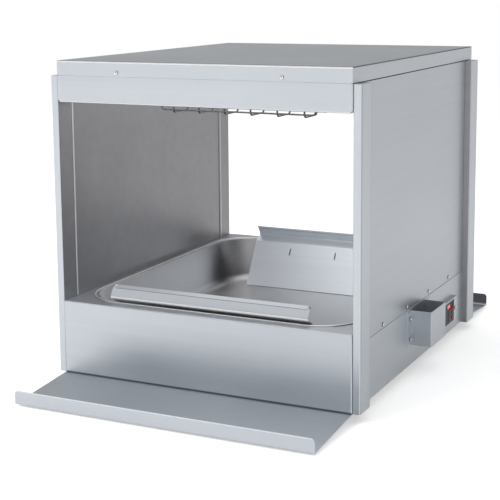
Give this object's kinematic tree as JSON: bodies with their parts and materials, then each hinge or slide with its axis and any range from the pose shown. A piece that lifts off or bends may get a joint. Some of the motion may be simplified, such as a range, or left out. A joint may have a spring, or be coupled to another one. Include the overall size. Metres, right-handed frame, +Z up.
{
  "type": "chip warmer",
  "caption": "Pass-through counter-top chip warmer: heated hood on solid side walls over a round-cornered drop-in pan with end ramps, a folded shelf at front and rear and a side controller.",
  "frame": {"origin": "on the surface the feet stand on, under the middle of the body", "axes": "+X to the right side with the controller, +Y from front to rear, +Z up"},
  "size_m": [0.6764, 1.055, 0.628],
  "materials": {
    "brushed_skin": "fine brushed stainless steel",
    "drawn_steel": "satin drawn stainless steel",
    "plain_steel": "mill-finish stainless steel",
    "screw_steel": "bright stainless steel",
    "foot_rubber": "matt",
    "bright_aluminium": "bright rolled",
    "element_sheath": "heat-darkened sheath",
    "ceramic": "glazed ceramic",
    "guard_wire": "plated wire",
    "mineral_wool": "fibrous",
    "silicone": "matt",
    "thermostat_shell": "satin",
    "black_plastic": "satin",
    "button_plastic": "satin, dim red legends",
    "smoked_lens": "smoked red acrylic",
    "lit_red": "lit",
    "module_black": "matt",
    "circuit_board": "solder mask"
  },
  "bodies": {
    "frame": {"base_shell": "brushed_skin", "bed_insulation": "mineral_wool", "bottom_plate": "plain_steel", "cable_gland": "black_plastic", "cap_screws": "screw_steel", "control_board": "circuit_board", "control_face": "black_plastic", "control_housing": "brushed_skin", "controller_case": "black_plastic", "display_digits": "lit_red", "display_lens": "smoked_lens", "display_module": "module_black", "element_insulators": "ceramic", "foot_screws": "screw_steel", "front_shelf": "brushed_skin", "gland_nut": "black_plastic", "heat_plate": "bright_aluminium", "heater_blanket": "silicone", "heater_relay": "black_plastic", "heater_tray": "plain_steel", "heating_element_front": "element_sheath", "heating_element_rear": "element_sheath", "hood_cap": "brushed_skin", "hood_floor": "plain_steel", "hood_front_band": "brushed_skin", "hood_insulation": "mineral_wool", "hood_rear_band": "brushed_skin", "hood_terminal_block": "ceramic", "housing_screws": "screw_steel", "housing_standoffs": "plain_steel", "lower_cover_left": "brushed_skin", "lower_cover_right": "brushed_skin", "pan_thermostat": "thermostat_shell", "pocket_screws": "screw_steel", "post_front_left": "brushed_skin", "post_front_right": "brushed_skin", "post_rear_left": "brushed_skin", "post_rear_right": "brushed_skin", "rear_shelf": "brushed_skin", "reflector_front": "bright_aluminium", "reflector_rear": "bright_aluminium", "rubber_feet": "foot_rubber", "shelf_screws": "screw_steel", "side_pocket": "brushed_skin", "side_wall_left": "brushed_skin", "side_wall_right": "brushed_skin", "side_wall_screws": "screw_steel", "switch_body": "black_plastic", "terminal_block": "ceramic", "tray_supports": "plain_steel", "wire_guard_front": "guard_wire", "wire_guard_rear": "guard_wire"},
    "pan": {"pan": "drawn_steel"},
    "front_ramp": {"front_ramp": "brushed_skin"},
    "rear_ramp": {"rear_ramp": "brushed_skin"},
    "push_button_1": {"push_button_1": "button_plastic"},
    "push_button_2": {"push_button_2": "button_plastic"},
    "push_button_3": {"push_button_3": "button_plastic"},
    "push_button_4": {"push_button_4": "button_plastic"},
    "switch_rocker": {"switch_rocker": "black_plastic"}
  },
  "joints": [
    {"name": "pan_lift", "type": "slide", "parent": "frame", "child": "pan", "axis": [0, 0, 1], "range_m": [0, 0.12]},
    {"name": "front_ramp_lift", "type": "slide", "parent": "pan", "child": "front_ramp", "axis": [0, 0, 1], "range_m": [0, 0.12]},
    {"name": "rear_ramp_lift", "type": "slide", "parent": "pan", "child": "rear_ramp", "axis": [0, 0, 1], "range_m": [0, 0.12]},
    {"name": "button_1_press", "type": "slide", "parent": "frame", "child": "push_button_1", "axis": [-1, 0, 0], "range_m": [0, 0.0008], "stiffness_N_per_m": 400},
    {"name": "button_2_press", "type": "slide", "parent": "frame", "child": "push_button_2", "axis": [-1, 0, 0], "range_m": [0, 0.0008], "stiffness_N_per_m": 400},
    {"name": "button_3_press", "type": "slide", "parent": "frame", "child": "push_button_3", "axis": [-1, 0, 0], "range_m": [0, 0.0008], "stiffness_N_per_m": 400},
    {"name": "button_4_press", "type": "slide", "parent": "frame", "child": "push_button_4", "axis": [-1, 0, 0], "range_m": [0, 0.0008], "stiffness_N_per_m": 400},
    {"name": "power_switch_rock", "type": "hinge", "parent": "frame", "child": "switch_rocker", "pos_m": [0.3088, 0.142, 0.07], "axis": [0, 1, 0], "range_deg": [0, 16]}
  ]
}
